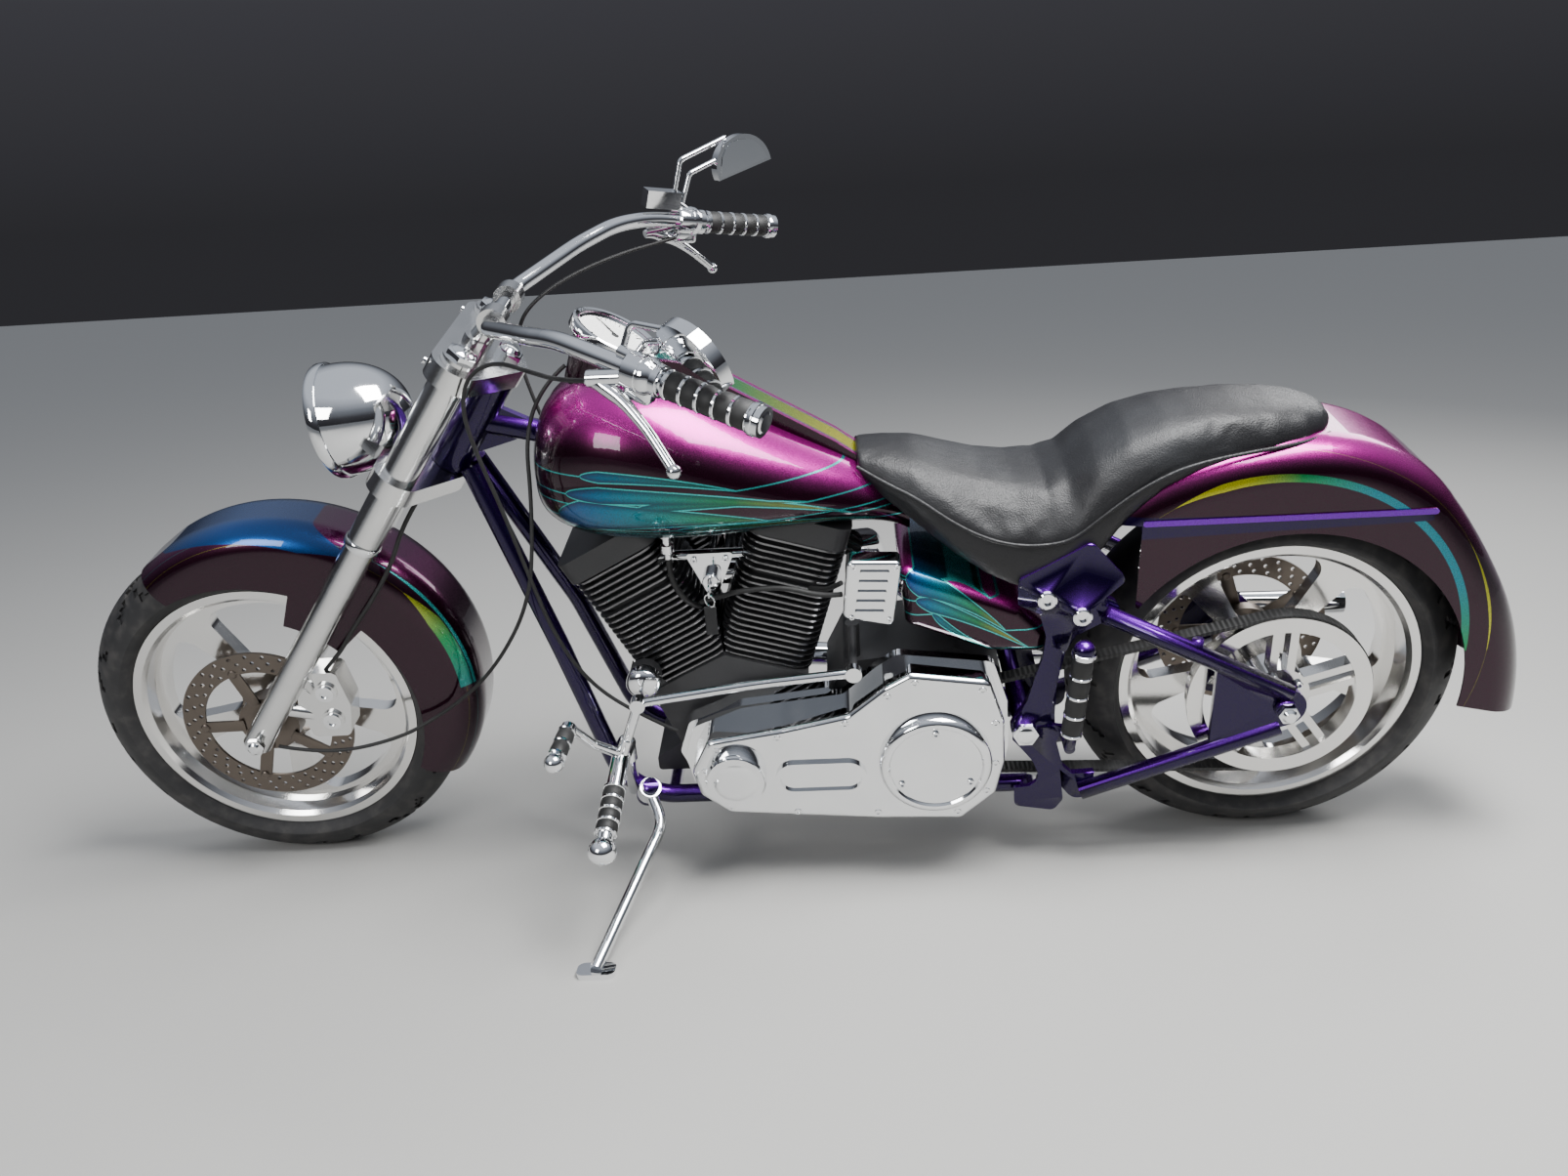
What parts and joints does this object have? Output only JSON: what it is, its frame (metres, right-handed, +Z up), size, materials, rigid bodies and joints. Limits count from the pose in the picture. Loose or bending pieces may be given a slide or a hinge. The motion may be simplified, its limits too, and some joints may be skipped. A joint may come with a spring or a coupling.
{
  "type": "chopper motorcycle",
  "caption": "Long raked custom motorcycle leaning on its side stand, with a finned V-twin engine, deep fenders, stepped seat, belt drive and turning front end.",
  "frame": {"origin": "on the road, under the middle of the parked machine's box", "axes": "+X forward along the wheelbase, +Y to the rider's left, +Z up from the road; the machine leans to its left"},
  "size_m": [2.4307, 1.0276, 1.2282],
  "materials": {
    "maroon_paint": "deep candy lacquer, dark maroon with magenta lights",
    "purple_paint": "candy purple lacquer",
    "chrome": "mirror chrome",
    "polished_alloy": "polished aluminium",
    "black_alloy": "black crinkle paint with bright machined fin edges",
    "disc_steel": "ground and heat-tinted steel",
    "tyre": "worn black tyre rubber",
    "black_rubber": "matt black rubber",
    "black_leather": "soft black leather",
    "lamp_glass": "clear fluted glass"
  },
  "bodies": {
    "frame": {"air_cleaner": "chrome", "clutch_cable": "black_rubber", "coil_cover": "chrome", "crankcase": "black_alloy", "cylinder_front": "black_alloy", "cylinder_rear": "black_alloy", "dash_console": "chrome", "drive_belt": "black_rubber", "exhaust_pipes": "chrome", "forward_control_left": "chrome", "forward_control_right": "chrome", "frame_backbone": "purple_paint", "frame_rail_left": "purple_paint", "frame_rail_right": "purple_paint", "fuel_tank": "maroon_paint", "gearbox": "black_alloy", "key_bracket": "chrome", "oil_tank": "maroon_paint", "primary_case": "chrome", "rear_fender": "maroon_paint", "seat": "black_leather", "speedometer_cable": "black_rubber", "swing_arm_left": "purple_paint", "swing_arm_right": "purple_paint", "throttle_cable": "black_rubber"},
    "steering": {"fork_leg_left": "polished_alloy", "fork_leg_right": "polished_alloy", "lower_tree": "polished_alloy", "upper_tree": "polished_alloy", "handlebar": "chrome", "control_left": "chrome", "control_right": "chrome", "headlamp_shell": "chrome", "headlamp_lens": "lamp_glass", "front_fender": "maroon_paint", "front_caliper": "polished_alloy", "brake_hose": "black_rubber"},
    "front_wheel": {"front_tyre": "tyre", "front_rim": "polished_alloy", "front_disc": "disc_steel"},
    "rear_wheel": {"rear_tyre": "tyre", "rear_rim": "polished_alloy", "rear_disc": "disc_steel", "rear_pulley": "polished_alloy"},
    "side_stand": {"side_stand": "chrome"}
  },
  "joints": [
    {"name": "steering", "type": "hinge", "parent": "frame", "child": "steering", "pos_m": [0.51299, -0.00802, 0.73964], "axis": [-0.5878, 0.1544, 0.7942], "range_deg": [-28, 24], "deforming": ["clutch_cable", "throttle_cable", "speedometer_cable"]},
    {"name": "front_wheel_spin", "type": "hinge", "parent": "steering", "child": "front_wheel", "pos_m": [0.89544, -0.08883, 0.31437], "axis": [-0.0268, 0.9774, -0.2098], "continuous": true},
    {"name": "rear_wheel_spin", "type": "hinge", "parent": "frame", "child": "rear_wheel", "pos_m": [-0.81053, -0.08962, 0.31985], "axis": [0, 0.9816, -0.1908], "continuous": true},
    {"name": "side_stand_fold", "type": "hinge", "parent": "frame", "child": "side_stand", "pos_m": [0.22947, 0.05785, 0.17709], "axis": [-0.3162, 0.5776, 0.7526], "range_deg": [0, 82]}
  ]
}
